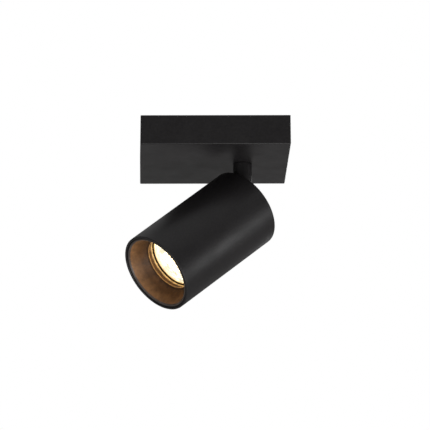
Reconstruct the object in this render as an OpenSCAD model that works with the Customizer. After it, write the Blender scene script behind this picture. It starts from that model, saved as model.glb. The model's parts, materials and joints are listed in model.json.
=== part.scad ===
// Surface mounted ceiling spotlight: a square canopy, a stem that swivels and a round head that tilts.
// Lengths are in millimetres. The ceiling is the plane z = 0, and everything hangs below it.
// The head is drawn in its own frame, with its origin at the centre of the mouth and z towards its rear.

/* [Canopy] */
// Width of the canopy, left to right
canopy_w = 100; // [96:1:130]
// Depth of the canopy, front to back
canopy_d = 100; // [80:1:130]
// Drop of the canopy below the ceiling
canopy_h = 20; // [19:0.5:28]
// Sheet thickness of the canopy cover
cover_wall = 1.2; // [0.8:0.1:2]
// Outer radius of the cover's edges
cover_edge_r = 1; // [0.4:0.1:1.6]

/* [Mounting plate] */
// Depth of the mounting plate, front to back
plate_d = 56; // [52:1:70]
// Thickness of the mounting plate
plate_t = 1.5; // [1:0.1:2]
// Width of each end tab
tab_w = 20; // [12:1:30]
// Drop of each end tab below the ceiling
tab_drop = 14; // [13:0.5:16]
// Distance between the two ceiling screws
screw_spacing = 60; // [50:1:64]
// Width of each ceiling screw slot
slot_w = 4.5; // [3.5:0.1:5.5]
// Length of each ceiling screw slot, end to end
slot_l = 12; // [8:0.5:14]
// Bore for the supply cable
cable_hole_d = 16; // [10:0.5:18]
// Diameter of the grub screws that hold the cover
grub_d = 4; // [3:0.5:5]
// Length of the grub screws that hold the cover
grub_l = 6; // [5:0.5:8]
// Drop of the grub screws below the ceiling
grub_drop = 10; // [8:0.5:10.5]

/* [Stem] */
// Distance of the stem from the canopy's centre, to the right
stem_x = 19.2; // [18:0.1:26]
// Outer diameter of the stem
stem_d = 12.7; // [12:0.1:14]
// Drop from the canopy's underside to the tilt pin
pivot_drop = 31.5; // [28:0.5:60]
// Outer diameter of the threaded nipple
nipple_d = 10; // [9.4:0.1:10.4]
// Bore of the threaded nipple
nipple_bore = 7; // [5:0.1:8]
// Swivel each way from the aim at rest, in degrees
swivel_max = 170; // [150:1:170]

/* [Head] */
// Room between the lamp and the head tube, all round
lamp_room = 1.35; // [1:0.05:5]
// Room for the leads between the lampholder and the rear cap
holder_room = 4.7; // [4.4:0.1:12]
// Distance from the tilt pin to the rear edge
head_overhang = 1; // [0:0.1:1.5]
// Wall of the head tube
head_wall = 1.5; // [1:0.1:2]
// Direction that the head points in, turned from the right towards the back, in degrees
head_pan = 211.3; // [0:0.1:360]
// Tilt of the head away from straight down, in degrees
head_tilt = 52.4; // [0:0.1:70]
// Largest tilt each way from straight down, in degrees
tilt_max = 70; // [50:1:71]

/* [Knuckle] */
// Thickness of the knuckle between its flats
knuckle_t = 9; // [8:0.1:9.5]
// Diameter of each pivot screw's plain end
pivot_pin_d = 3; // [2:0.1:3.5]
// Diameter of each pivot screw's thread
pivot_thread_d = 4; // [3.6:0.1:5]
// Thickness of each ear on the rear cap
ear_t = 2.4; // [2:0.1:3]
// Thickness of each friction washer
friction_t = 0.5; // [0.3:0.1:0.8]
// Bore for the leads through the knuckle
lead_bore_d = 4.2; // [4.2:0.1:4.8]

/* [Baffle] */
// Distance from the mouth to the baffle's front
baffle_inset = 1; // [0.4:0.1:2]
// Width of the lip round the baffle's front
baffle_lip_w = 0.85; // [0.6:0.05:1.6]
// How far the throat covers the edge of the lens
throat_lap = 0.2; // [0:0.1:1.5]
// Length of the straight throat
baffle_throat_l = 4.7; // [3:0.1:6]
// Wall of the baffle
baffle_wall = 1.1; // [0.8:0.1:1.4]

/* [Lamp] */
// Distance from the mouth to the front of the lamp
lamp_inset = 18.7; // [17:0.1:20]
// Diameter of the lamp
lamp_d = 50; // [46:0.1:58]
// Length of the lamp with its pins
lamp_l = 54; // [50:0.1:66]
// Width of the rim round the lamp's lens
lamp_rim_w = 5.2; // [4.6:0.1:6.4]
// Length of the lamp's pins
pin_l = 7; // [6.5:0.1:7.5]
// Distance between the two pins
pin_spacing = 10; // [9.5:0.1:10.4]
// Turn that locks the lamp, in degrees
lamp_turn = 20; // [12:1:24]

/* [Lampholder] */
// Diameter of the lampholder
holder_d = 30; // [29.5:0.5:32]
// Length of the lampholder
holder_l = 11; // [10.5:0.1:11.6]
// Distance from the lampholder's axis to each of its screws
holder_screw_r = 11.2; // [11.1:0.1:11.4]

/* [Hidden] */
$fn = 96;

// How far every cut runs past the solid that it cuts
over = 0.5;
// Gap between a thread and its hole, as a radius
thread_gap = 0.05;
// Gap between a screw and a plain clearance hole, as a radius
clear_gap = 0.2;
// Gap of a pin or a shaft that turns in its bore, as a radius
run_gap = 0.05;
// Gap between flat faces that turn past each other
face_gap = 0.15;
// Gap between parts that fit together and stay still
seat_gap = 0.1;
// Gap between soft or loose parts that move past each other
swing_gap = 0.3;
// Broken edge on turned parts
edge_break = 0.3;

// Canopy cover
floor_z = -(canopy_h - cover_wall);
under_z = -canopy_h;

// Mounting plate
plate_gap = 0.4;
plate_w = canopy_w - 2 * cover_wall - 2 * plate_gap;
grub_inset = 0.2;
grub_socket_share = 0.5;
socket_depth_share = 0.6;

// Terminal block
block_w = 34;
block_d = 16;
block_h = 12.5;
block_x = -17;
block_edge = 2;
block_y = plate_d / 2 - block_edge - block_d / 2;
block_bottom_z = -plate_t - block_h;
pole_count = 3;
pole_pitch = 11;
pole_groove_w = 1.4;
pole_groove_h = 4.5;
insert_d = 5;
insert_bore = 3;
insert_l = 13;
insert_drop = 6.5;
insert_z = -plate_t - insert_drop;
clamp_screw_d = 2.5;
clamp_head_d = 3.6;
clamp_head_h = 1.4;
clamp_screw_inset = 0.4;
clamp_screw_pitch = 7.6;
clamp_access_d = 4;
screw_slot_w = 0.7;
fixing_d = 3;
fixing_head_d = 5;
fixing_head_h = 2.2;
fixing_recess_d = 5.4;
fixing_recess_h = 5;

// Earth stud, with its two tags, its washer and its nut
stud_d = 4;
stud_l = 7.5;
stud_x = 36;
stud_y = block_y;
tag_t = 0.8;
tag_d = 8;
tag_arm_w = 3;
tag_barrel_d = 3;
tag_barrel_l = 4;
tag_barrel_at = 7;
tag_angles = [-105, -150];
tag_pitch = tag_t + thread_gap;
earth_washer_d = 8;
earth_washer_t = 0.8;
earth_nut_af = 7;
earth_nut_h = 3.2;

// Swivel: washers, spring and nut on the nipple, and the post that stops it
washer_d = 18;
nylon_t = 0.8;
spring_t = 0.6;
spring_h = 0.9;
stop_t = 1;
stop_post_d = 2.4;
stop_post_r = 15;
stop_spare = 1.6;
stop_tooth_w = 2 * stop_post_r * sin(180 - swivel_max - stop_spare) - stop_post_d;
nut_af = 14;
nut_h = 4;
nipple_proud = 1;
nylon_z = floor_z + face_gap;
spring_z = nylon_z + nylon_t;
stop_z = spring_z + spring_h;
nut_z = stop_z + stop_t;
nipple_top = nut_z + nut_h + nipple_proud;
thread_bore = nipple_d + 2 * thread_gap;
stop_post_angle = 90;

// Stem and knuckle
pivot_z = under_z - pivot_drop;
knuckle_r = stem_d / 2;
shoulder_gap = 0.65;
shoulder_l = knuckle_r + shoulder_gap;
collar_l = 2;
tube_top = under_z - face_gap;
tube_bottom = pivot_z + shoulder_l + collar_l;
thread_share = 0.4;
thread_l = thread_share * (tube_top - tube_bottom);
washer_play = 0.1;
ear_in = knuckle_t / 2 + friction_t + 2 * washer_play;
ear_out = ear_in + ear_t;
pin_wall = 0.4;
pin_tip = lead_bore_d / 2 + pin_wall;
friction_d = 9.4;

// Leads. The first side vector only sets where each ring of points starts.
lead_d = 1.8;
lead_first_side = [0.48, 0.6, 0.64];
lead_ring_r = 1.1;
lead_proud = 1;
lead_angles = [90, 210, 330];
lead_sides = 8;
lead_smoothing = 2;

// Lamp, along the axis of the head from its mouth
pin_neck_d = 3;
pin_head_d = 5;
pin_head_l = 2.2;
pin_root = lamp_inset + lamp_l - pin_l;
pin_end = lamp_inset + lamp_l;
lens_d = lamp_d - 2 * lamp_rim_w;
bezel_l = 2.2;
lens_t = 2;
lens_sink = 0.3;
lens_flange_w = 1.5;
lens_flange_d = lens_d + 2 * lens_flange_w;
lens_flange_t = 1;
housing_front = lamp_inset + bezel_l + seat_gap;
housing_skirt_l = 7;
housing_wall = 1.5;
neck_d = 25.2;
base_l = 9;
base_taper_l = 3;
base_taper = 1.1;
spigot_l = 3;
lens_back = lamp_inset + lens_sink + lens_t;
lens_seat = lens_back + lens_flange_t + seat_gap;
skirt_end = housing_front + housing_skirt_l;
base_front = pin_root - base_l;
housing_end = base_front - seat_gap;
board_t = 1.6;
led_count = 6;
led_d = 3.6;
led_h = 1.2;
led_ring_r = 11;
driver_w = 16;
driver_t = 1.2;
driver_gap = 5;

// Lampholder, along the same axis
holder_front = pin_root + swing_gap;
holder_rear = holder_front + holder_l;
holder_lip = 3.6;
holder_screw_head_d = 5;
holder_screw_head_h = 2;
contact_t = 0.8;
contact_w = 4;
contact_inner = 2.7;
contact_outer = 11.4;
contact_gap = 0.4;
contact_front = pin_end + contact_gap;
contact_back = contact_front + contact_t;
tail_x = 10;
tail_d = 2;
tail_proud = 1.2;
head_tag_d = 6;
head_tag_t = 0.6;
head_tag_barrel_at = 5;

// Rear cap and head tube, along the same axis
cap_drop = 4;
cap_t = 2;
cap_inner = holder_rear + holder_room;
cap_face = cap_inner + cap_t;
head_reach = cap_face + cap_drop;
head_rear = head_reach + head_overhang;
tube_bore_r = lamp_d / 2 + lamp_room;
cap_r = tube_bore_r - seat_gap / 2;
cap_skirt_l = 6;
cap_skirt_t = 1.5;
cap_slot_x = knuckle_r * cos(tilt_max) + (knuckle_r * sin(tilt_max) - cap_drop) * tan(tilt_max)
    + 2 * swing_gap;
boss_d = 6;
holder_screw_d = 3;
holder_screw_l = 13;
boss_floor = 1;

// Baffle, along the same axis
baffle_gap = 0.6;
baffle_fit = 0.1;
rim_r = tube_bore_r - baffle_fit;
mouth_r = rim_r - baffle_lip_w;
throat_r = lens_d / 2 - throat_lap;
baffle_rear = lamp_inset - baffle_gap;
throat_front = baffle_rear - baffle_throat_l;
rim_l = 6;
groove_at = 2.6;
groove_w = 1.7;
groove_depth = 1.1;
groove_play = 0.05;

// Routes of the leads in the canopy. A start is measured from the top of the stem's leads, a run from the
// front of the middle pole, and an end from the barrel of the upper earth tag, at its stud.
stem_top = [stem_x, 0, nipple_top + lead_proud];
pole_front = [block_x, block_y - block_d / 2, insert_z];
tag_place = [stud_x, stud_y, -plate_t - tag_barrel_d / 2];
live_start = [[-1, -0.6, 0.65], [-1, -0.6, 3.95]];
live_run = [[29, -11, 3], [-3, -11, 3], [-11, -8, 2], [-11, -2, 0], [-11, 2.6, 0]];
neutral_start = [[0, 1.1, 0.65], [0, 1.1, 3.95]];
neutral_run = [[30, -7.5, 3], [9, -7.5, 3], [0, -7, 2], [0, -2, 0], [0, 2.6, 0]];
earth_start = [[1, -0.6, 0.65], [1, -0.6, 3.95], [6.8, -1.5, 4.95]];
earth_end = [[-4.8, -17.8, 0], [-3.9, -14.6, 0], [-2.3, -8.6, 0]];
bond_run = [[11, 2.6, 0], [11, -1, 0], [13, -3, 2.6], [23, -3, 3.6], [35, -2.4, 4.15]];
bond_end = [[-7.7, -4.5, -0.85]];

// Routes of the leads in the head. A start is measured from the tilt pin and an end from the holder's rear.
holder_place = [0, 0, holder_rear - head_reach];
head_live_start = [[-5.4, -2.2, -8], [-7, -2.2, -8.7]];
head_live_end = [[-10, -1.5, 2.7], [-10, 0, 2.7], [-10, 0, 1.2]];
head_neutral_start = [[-5.4, 0, -8], [-3, 0, -8.7], [4, 0, -8.7]];
head_neutral_end = [[10, 0, 3.2], [10, 0, 1.2]];
head_earth_start = [[-5.4, 2.2, -8], [-8, 3, -8.8]];
head_earth_end = [[-12, 6, 1.5], [-13, 11.2, 1.5], [-7, 11.2, 1.5]];

function unit(v) = v / norm(v);

function moved(points, by) = [for (p = points) p + by];

// One pass of corner cutting: each stretch keeps its middle half, and the two ends stay
function cut_corners(p) = concat([p[0]],
    [for (i = [0 : len(p) - 2]) for (share = [0.25, 0.75]) p[i] + share * (p[i + 1] - p[i])],
    [p[len(p) - 1]]);

function smooth(p, passes) = passes == 0 ? p : smooth(cut_corners(p), passes - 1);

function tangents(p) =
    [for (i = [0 : len(p) - 1]) unit(p[min(i + 1, len(p) - 1)] - p[max(i - 1, 0)])];

// A vector square to each tangent, carried along the route without twisting
function side_vectors(t, v, i = 0) = i == len(t) ? [] :
    let (s = unit(v - (v * t[i]) * t[i])) concat([s], side_vectors(t, s, i + 1));

// A round lead swept along a route
module lead(route) {
    p = smooth(route, lead_smoothing);
    t = tangents(p);
    s = side_vectors(t, lead_first_side);
    n = lead_sides;
    rings = [for (i = [0 : len(p) - 1]) for (k = [0 : n - 1])
        p[i] + lead_d / 2 * (cos(360 * k / n) * s[i] + sin(360 * k / n) * cross(t[i], s[i]))];
    last = n * (len(p) - 1);
    sides = [for (i = [0 : len(p) - 2]) for (k = [0 : n - 1]) let (m = (k + 1) % n)
        [n * i + k, n * (i + 1) + k, n * (i + 1) + m, n * i + m]];
    polyhedron(rings, concat([[for (k = [0 : n - 1]) k]], [[for (k = [n - 1 : -1 : 0]) last + k]], sides));
}

module ring(r_out, r_in, h) {
    difference() {
        cylinder(h = h, r = r_out);
        translate([0, 0, -over]) cylinder(h = h + 2 * over, r = r_in);
    }
}

module hex_prism(af, h) {
    cylinder(h = h, r = af / 2 / cos(30), $fn = 6);
}

module rounded_rect(w, d, r) {
    square([w - 2 * r, d], center = true);
    square([w, d - 2 * r], center = true);
    for (x = [-1, 1], y = [-1, 1]) translate([x * (w / 2 - r), y * (d / 2 - r)]) circle(r);
}

// A centred block with all its edges rounded
module rounded_block(w, d, h, r) {
    intersection() {
        linear_extrude(h + 2 * over, center = true) rounded_rect(w, d, r);
        rotate([90, 0, 0]) linear_extrude(d + 2 * over, center = true) rounded_rect(w, h, r);
        rotate([90, 0, 90]) linear_extrude(w + 2 * over, center = true) rounded_rect(d, h, r);
    }
}

module at_stem() {
    translate([stem_x, 0, 0]) children();
}

// The frame of the head: origin at the tilt pin, z towards the rear, y along the pin
module at_pivot() {
    translate([stem_x, 0, pivot_z]) rotate([0, 0, head_pan]) rotate([0, -head_tilt, 0]) children();
}

// The same frame with its origin at the centre of the mouth
module at_mouth() {
    at_pivot() translate([0, 0, -head_reach]) children();
}

// The stem's knuckle turns with the head's pan but not with its tilt
module at_knuckle() {
    translate([stem_x, 0, pivot_z]) rotate([0, 0, head_pan]) children();
}

module canopy_cover() {
    color("#242325") difference() {
        rounded_block(canopy_w, canopy_d, 2 * canopy_h, cover_edge_r);
        cube([canopy_w - 2 * cover_wall, canopy_d - 2 * cover_wall, -2 * floor_z], center = true);
        translate([0, 0, canopy_h])
            cube([canopy_w + 2 * over, canopy_d + 2 * over, 2 * canopy_h], center = true);
        at_stem() translate([0, 0, under_z - over])
            cylinder(h = cover_wall + 2 * over, r = nipple_d / 2 + run_gap);
        translate([0, 0, -grub_drop]) rotate([0, 90, 0])
            cylinder(h = canopy_w + 2 * over, r = grub_d / 2 + clear_gap, center = true);
    }
}

module ceiling_slot() {
    run = slot_l - slot_w;
    for (x = [-1, 1]) translate([x * run / 2, 0, 0])
        cylinder(h = plate_t + 2 * over, d = slot_w);
    translate([-run / 2, -slot_w / 2, 0]) cube([run, slot_w, plate_t + 2 * over]);
}

module mounting_plate() {
    color("#b9babc") difference() {
        union() {
            translate([-plate_w / 2, -plate_d / 2, -plate_t]) cube([plate_w, plate_d, plate_t]);
            for (x = [-plate_w / 2, plate_w / 2 - plate_t]) translate([x, -tab_w / 2, -tab_drop])
                cube([plate_t, tab_w, tab_drop]);
        }
        translate([0, 0, -plate_t - over]) {
            cylinder(h = plate_t + 2 * over, d = cable_hole_d);
            for (x = [-1, 1]) translate([x * screw_spacing / 2, 0, 0]) ceiling_slot();
            translate([block_x + pole_pitch / 2, block_y, 0])
                cylinder(h = plate_t + 2 * over, d = fixing_d + 2 * thread_gap);
        }
        translate([0, 0, -grub_drop]) rotate([0, 90, 0])
            cylinder(h = plate_w + 2 * over, d = grub_d + 2 * thread_gap, center = true);
    }
}

module grub_screw() {
    socket = grub_d * grub_socket_share;
    difference() {
        rotate_extrude() polygon([[0, 0], [grub_d / 2 - edge_break, 0], [grub_d / 2, edge_break],
            [grub_d / 2, grub_l - edge_break], [grub_d / 2 - edge_break, grub_l], [0, grub_l]]);
        translate([0, 0, grub_l - socket * socket_depth_share * 2]) hex_prism(socket, grub_l);
    }
}

module cover_grub_screws() {
    color("#1b1b1c") for (side = [0, 180]) rotate([0, 0, side])
        translate([canopy_w / 2 - grub_inset - grub_l, 0, -grub_drop]) rotate([0, 90, 0]) grub_screw();
}

module at_poles() {
    for (i = [0 : pole_count - 1])
        translate([block_x + (i - (pole_count - 1) / 2) * pole_pitch, block_y, 0]) children();
}

module terminal_block() {
    color("#e9e6dc") difference() {
        translate([block_x - block_w / 2, block_y - block_d / 2, block_bottom_z])
            cube([block_w, block_d, block_h]);
        at_poles() {
            translate([0, 0, insert_z]) rotate([90, 0, 0])
                cylinder(h = block_d + 2 * over, d = insert_d + 2 * thread_gap, center = true);
            for (y = [-1, 1]) translate([0, y * clamp_screw_pitch / 2, block_bottom_z - over])
                cylinder(h = insert_z - block_bottom_z + over, d = clamp_access_d);
        }
        for (i = [-1, 1]) translate([block_x + i * pole_pitch / 2, block_y, block_bottom_z])
            cube([pole_groove_w, block_d + 2 * over, 2 * pole_groove_h], center = true);
        translate([block_x + pole_pitch / 2, block_y, block_bottom_z - over]) {
            cylinder(h = block_h + 2 * over, d = fixing_d + 2 * clear_gap);
            cylinder(h = fixing_recess_h + over, d = fixing_recess_d);
        }
    }
}

module terminal_inserts() {
    color("#c9a24b") at_poles() difference() {
        translate([0, 0, insert_z]) rotate([90, 0, 0])
            cylinder(h = insert_l, d = insert_d, center = true);
        translate([0, 0, insert_z]) rotate([90, 0, 0])
            cylinder(h = insert_l + 2 * over, d = insert_bore, center = true);
        for (y = [-1, 1]) translate([0, y * clamp_screw_pitch / 2, insert_z - insert_d])
            cylinder(h = insert_d, d = clamp_screw_d + 2 * thread_gap);
    }
}

module terminal_screws() {
    head_z = block_bottom_z + clamp_screw_inset;
    tip_z = insert_z - lead_d / 2 - seat_gap;
    color("#a9abb0") at_poles() for (y = [-1, 1]) translate([0, y * clamp_screw_pitch / 2, head_z])
        difference() {
            union() {
                cylinder(h = clamp_head_h, d = clamp_head_d);
                cylinder(h = tip_z - head_z, d = clamp_screw_d);
            }
            cube([clamp_head_d + 2 * over, screw_slot_w, clamp_head_h], center = true);
        }
}

module terminal_fixing_screw() {
    head_z = block_bottom_z + fixing_recess_h - fixing_head_h;
    color("#a9abb0") translate([block_x + pole_pitch / 2, block_y, head_z]) difference() {
        union() {
            cylinder(h = fixing_head_h, d = fixing_head_d);
            cylinder(h = -head_z - grub_inset, d = fixing_d);
        }
        cube([fixing_head_d + 2 * over, screw_slot_w, fixing_head_h], center = true);
    }
}

module at_stud(drop) {
    translate([stud_x, stud_y, -plate_t - drop]) children();
}

module earth_stud() {
    color("#c9a24b") at_stud(stud_l) cylinder(h = stud_l, d = stud_d);
}

// A ring tag whose top face is at z = 0, with its barrel along x
module ring_tag(ring_d, ring_bore, t, barrel_at) {
    difference() {
        union() {
            translate([0, 0, -t]) cylinder(h = t, d = ring_d);
            translate([0, -tag_arm_w / 2, -t]) cube([barrel_at + edge_break, tag_arm_w, t]);
            translate([barrel_at, 0, -tag_barrel_d / 2]) rotate([0, 90, 0])
                cylinder(h = tag_barrel_l, d = tag_barrel_d);
        }
        translate([0, 0, -t - over]) cylinder(h = t + 2 * over, d = ring_bore);
        translate([barrel_at + tag_barrel_d / 2, 0, -tag_barrel_d / 2]) rotate([0, 90, 0])
            cylinder(h = tag_barrel_l + over, d = lead_d + 2 * seat_gap);
    }
}

module earth_tags() {
    color("#c9a24b") for (i = [0, 1]) at_stud(i * tag_pitch) rotate([0, 0, tag_angles[i]])
        ring_tag(tag_d, stud_d + 2 * seat_gap, tag_t, tag_barrel_at);
}

module earth_washer() {
    color("#a9abb0") at_stud(2 * tag_pitch + earth_washer_t)
        ring(earth_washer_d / 2, stud_d / 2 + seat_gap, earth_washer_t);
}

module earth_nut() {
    color("#a9abb0") at_stud(2 * tag_pitch + earth_washer_t + earth_nut_h) difference() {
        hex_prism(earth_nut_af, earth_nut_h);
        translate([0, 0, -over]) cylinder(h = earth_nut_h + 2 * over, d = stud_d + 2 * thread_gap);
    }
}

module swivel_stop_post() {
    color("#8d8f93") at_stem() rotate([0, 0, stop_post_angle]) translate([stop_post_r, 0, floor_z])
        cylinder(h = stop_z + stop_t + swing_gap - floor_z, d = stop_post_d);
}

module live_lead() {
    color("#5a3a22") lead(concat(moved(live_start, stem_top), moved(live_run, pole_front)));
}

module neutral_lead() {
    color("#2f5fa8") lead(concat(moved(neutral_start, stem_top), moved(neutral_run, pole_front)));
}

module earth_leads() {
    color("#5f9a3a") {
        lead(concat(moved(earth_start, stem_top), moved(earth_end, tag_place)));
        lead(concat(moved(bond_run, pole_front), moved(bond_end, tag_place)));
    }
}

module stem_tube() {
    color("#242325") at_stem() translate([0, 0, tube_bottom])
        ring(stem_d / 2, thread_bore / 2, tube_top - tube_bottom);
}

module stem_nipple() {
    color("#b9babc") at_stem() translate([0, 0, tube_top - thread_l])
        ring(nipple_d / 2, nipple_bore / 2, nipple_top - tube_top + thread_l);
}

module nylon_washer() {
    color("#f0efe8") at_stem() translate([0, 0, nylon_z]) ring(washer_d / 2, thread_bore / 2, nylon_t);
}

module disc_spring() {
    rise = spring_h - spring_t;
    color("#8d8f93") at_stem() translate([0, 0, spring_z]) rotate_extrude()
        polygon([[thread_bore / 2, rise], [washer_d / 2, 0], [washer_d / 2, spring_t],
            [thread_bore / 2, spring_h]]);
}

module stop_washer() {
    reach = stop_post_r + stop_post_d / 2;
    color("#8d8f93") at_stem() translate([0, 0, stop_z]) difference() {
        union() {
            cylinder(h = stop_t, d = washer_d);
            rotate([0, 0, stop_post_angle + 180]) translate([0, -stop_tooth_w / 2, 0])
                cube([reach, stop_tooth_w, stop_t]);
        }
        translate([0, 0, -over]) cylinder(h = stop_t + 2 * over, d = thread_bore);
    }
}

module stem_nut() {
    color("#b9babc") at_stem() translate([0, 0, nut_z]) difference() {
        hex_prism(nut_af, nut_h);
        translate([0, 0, -over]) cylinder(h = nut_h + 2 * over, d = thread_bore);
    }
}

module stem_knuckle() {
    color("#1f1e20") at_knuckle() difference() {
        union() {
            rotate([90, 0, 0]) cylinder(h = knuckle_t, r = knuckle_r, center = true);
            translate([-knuckle_r, -knuckle_t / 2, 0]) cube([2 * knuckle_r, knuckle_t, shoulder_l]);
            translate([0, 0, shoulder_l]) cylinder(h = collar_l, r = knuckle_r);
            translate([0, 0, shoulder_l]) cylinder(h = collar_l + thread_l, d = nipple_d);
        }
        translate([0, 0, -knuckle_r - over])
            cylinder(h = knuckle_r + shoulder_l + collar_l + thread_l + 2 * over, d = lead_bore_d);
        rotate([90, 0, 0]) cylinder(h = knuckle_t + 2 * over, d = pivot_pin_d + 2 * run_gap, center = true);
    }
}

module stem_leads() {
    colors = ["#2f5fa8", "#5a3a22", "#5f9a3a"];
    bottom = pivot_z - knuckle_r;
    for (i = [0 : len(lead_angles) - 1]) color(colors[i]) at_stem() rotate([0, 0, lead_angles[i]])
        translate([lead_ring_r, 0, bottom]) cylinder(h = nipple_top + lead_proud - bottom, d = lead_d);
}

module head_tube() {
    out = tube_bore_r + head_wall;
    color("#242325") at_mouth() rotate_extrude() polygon([[tube_bore_r, edge_break],
        [tube_bore_r + edge_break, 0], [out - edge_break, 0], [out, edge_break],
        [out, head_rear - edge_break], [out - edge_break, head_rear],
        [tube_bore_r + edge_break, head_rear], [tube_bore_r, head_rear - edge_break]]);
}

module at_holder_screws() {
    for (side = [-1, 1]) translate([0, side * holder_screw_r, 0]) children();
}

module rear_cap() {
    color("#1f1e20") {
        at_mouth() difference() {
            union() {
                translate([0, 0, cap_inner]) cylinder(h = cap_t, r = cap_r);
                translate([0, 0, cap_inner - cap_skirt_l]) ring(cap_r, cap_r - cap_skirt_t, cap_skirt_l);
                translate([0, -holder_screw_r, holder_rear])
                    cylinder(h = cap_inner - holder_rear, d = boss_d);
                translate([0, holder_screw_r, holder_rear + head_tag_t])
                    cylinder(h = cap_inner - holder_rear - head_tag_t, d = boss_d);
                for (side = [-1, 1]) translate([0, side * (ear_in + ear_out) / 2, head_reach]) {
                    rotate([90, 0, 0]) cylinder(h = ear_t, r = knuckle_r, center = true);
                    translate([-knuckle_r, -ear_t / 2, -cap_drop - cap_t / 2])
                        cube([2 * knuckle_r, ear_t, cap_drop + cap_t / 2]);
                }
            }
            translate([-cap_slot_x, -ear_in, cap_inner - over])
                cube([2 * cap_slot_x, 2 * ear_in, cap_t + 2 * over]);
            translate([0, 0, head_reach]) rotate([90, 0, 0])
                cylinder(h = 2 * ear_out + 2 * over, d = pivot_thread_d + 2 * thread_gap, center = true);
            at_holder_screws() translate([0, 0, holder_rear - over])
                cylinder(h = cap_face - boss_floor - holder_rear + over, d = holder_screw_d + 2 * thread_gap);
        }
    }
}

module pivot_screws() {
    socket = pivot_thread_d * grub_socket_share;
    color("#1b1b1c") at_pivot() for (side = [-90, 90]) rotate([side, 0, 0]) difference() {
        union() {
            translate([0, 0, pin_tip]) cylinder(h = ear_in - pin_tip, d = pivot_pin_d);
            translate([0, 0, ear_in]) cylinder(h = ear_t, d = pivot_thread_d);
        }
        translate([0, 0, ear_out - socket * socket_depth_share]) hex_prism(socket, ear_t);
    }
}

module friction_washers() {
    color("#dcdad2") at_pivot() for (side = [-90, 90]) rotate([side, 0, 0])
        translate([0, 0, knuckle_t / 2 + washer_play])
            ring(friction_d / 2, pivot_pin_d / 2 + run_gap, friction_t);
}

// The keyhole slot for one pin: the entry hole, the arc and the locked end
module pin_slot(h) {
    width = pin_neck_d + 2 * swing_gap;
    rotate([0, 0, -lamp_turn]) {
        rotate_extrude(angle = lamp_turn) translate([pin_spacing / 2 - width / 2, 0]) square([width, h]);
        translate([pin_spacing / 2, 0, 0]) cylinder(h = h, d = pin_head_d + 2 * swing_gap);
    }
    translate([pin_spacing / 2, 0, 0]) cylinder(h = h, d = width);
}

module lampholder() {
    chamber_front = holder_front + holder_lip;
    chamber_out = pin_spacing / 2 + pin_head_d / 2 + swing_gap;
    chamber_in = pin_spacing / 2 - pin_head_d / 2 - swing_gap;
    color("#e6e1d4") at_mouth() difference() {
        translate([0, 0, holder_front]) cylinder(h = holder_l, d = holder_d);
        translate([0, 0, chamber_front]) difference() {
            cylinder(h = contact_back - chamber_front, r = chamber_out);
            translate([0, 0, -over])
                cylinder(h = contact_back - chamber_front + 2 * over, r = chamber_in);
        }
        for (side = [0, 180]) rotate([0, 0, side]) {
            translate([0, 0, holder_front - over]) pin_slot(holder_lip + 2 * over);
            translate([contact_inner, -contact_w / 2 - seat_gap, contact_front - seat_gap])
                cube([contact_outer - contact_inner + seat_gap, contact_w + 2 * seat_gap,
                    contact_t + seat_gap]);
            translate([tail_x, 0, contact_front])
                cylinder(h = holder_rear - contact_front + over, d = tail_d + 2 * seat_gap);
        }
        at_holder_screws() translate([0, 0, holder_front - over]) {
            cylinder(h = holder_l + 2 * over, d = holder_screw_d + 2 * clear_gap);
            cylinder(h = holder_screw_head_h + 2 * over, d = holder_screw_head_d + 2 * clear_gap);
        }
    }
}

module lampholder_contacts() {
    color("#c9a24b") at_mouth() for (side = [0, 180]) rotate([0, 0, side]) {
        translate([contact_inner + seat_gap, -contact_w / 2, contact_front])
            cube([contact_outer - contact_inner - seat_gap, contact_w, contact_t]);
        translate([tail_x, 0, contact_front])
            cylinder(h = holder_rear + tail_proud - contact_front, d = tail_d);
    }
}

module lampholder_screws() {
    head_back = holder_front + over + holder_screw_head_h;
    color("#a9abb0") at_mouth() at_holder_screws() difference() {
        union() {
            translate([0, 0, head_back - holder_screw_head_h])
                cylinder(h = holder_screw_head_h, d = holder_screw_head_d);
            translate([0, 0, head_back - over]) cylinder(h = holder_screw_l + over, d = holder_screw_d);
        }
        translate([0, 0, head_back - holder_screw_head_h])
            cube([holder_screw_head_d + 2 * over, screw_slot_w, holder_screw_head_h], center = true);
    }
}

module head_earth_tag() {
    color("#c9a24b") at_mouth() translate([0, holder_screw_r, holder_rear])
        rotate([180, 0, 180]) ring_tag(head_tag_d, holder_screw_d + 2 * seat_gap, head_tag_t,
            head_tag_barrel_at);
}

module head_leads() {
    color("#5a3a22") at_pivot() lead(concat(head_live_start, moved(head_live_end, holder_place)));
    color("#2f5fa8") at_pivot() lead(concat(head_neutral_start, moved(head_neutral_end, holder_place)));
    color("#5f9a3a") at_pivot() lead(concat(head_earth_start, moved(head_earth_end, holder_place)));
}

module baffle() {
    cone_l = throat_front - baffle_inset;
    slope = (mouth_r - throat_r) / cone_l;
    rim_end = baffle_inset + rim_l;
    groove_front = baffle_inset + groove_at;
    color("#2a2725") at_mouth() rotate_extrude() polygon([
        [mouth_r, baffle_inset], [rim_r - edge_break, baffle_inset], [rim_r, baffle_inset + edge_break],
        [rim_r, groove_front], [rim_r - groove_depth, groove_front],
        [rim_r - groove_depth, groove_front + groove_w], [rim_r, groove_front + groove_w],
        [rim_r, rim_end], [mouth_r - slope * rim_l + baffle_wall, rim_end],
        [throat_r + baffle_wall, throat_front], [throat_r + baffle_wall, baffle_rear],
        [throat_r, baffle_rear], [throat_r, throat_front]]);
}

module baffle_o_ring() {
    groove_r = rim_r - groove_depth;
    section = tube_bore_r - groove_r - 2 * groove_play;
    color("#141414") at_mouth() translate([0, 0, baffle_inset + groove_at + groove_w / 2])
        rotate_extrude() translate([groove_r + groove_play + section / 2, 0]) circle(d = section, $fn = 32);
}

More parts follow.
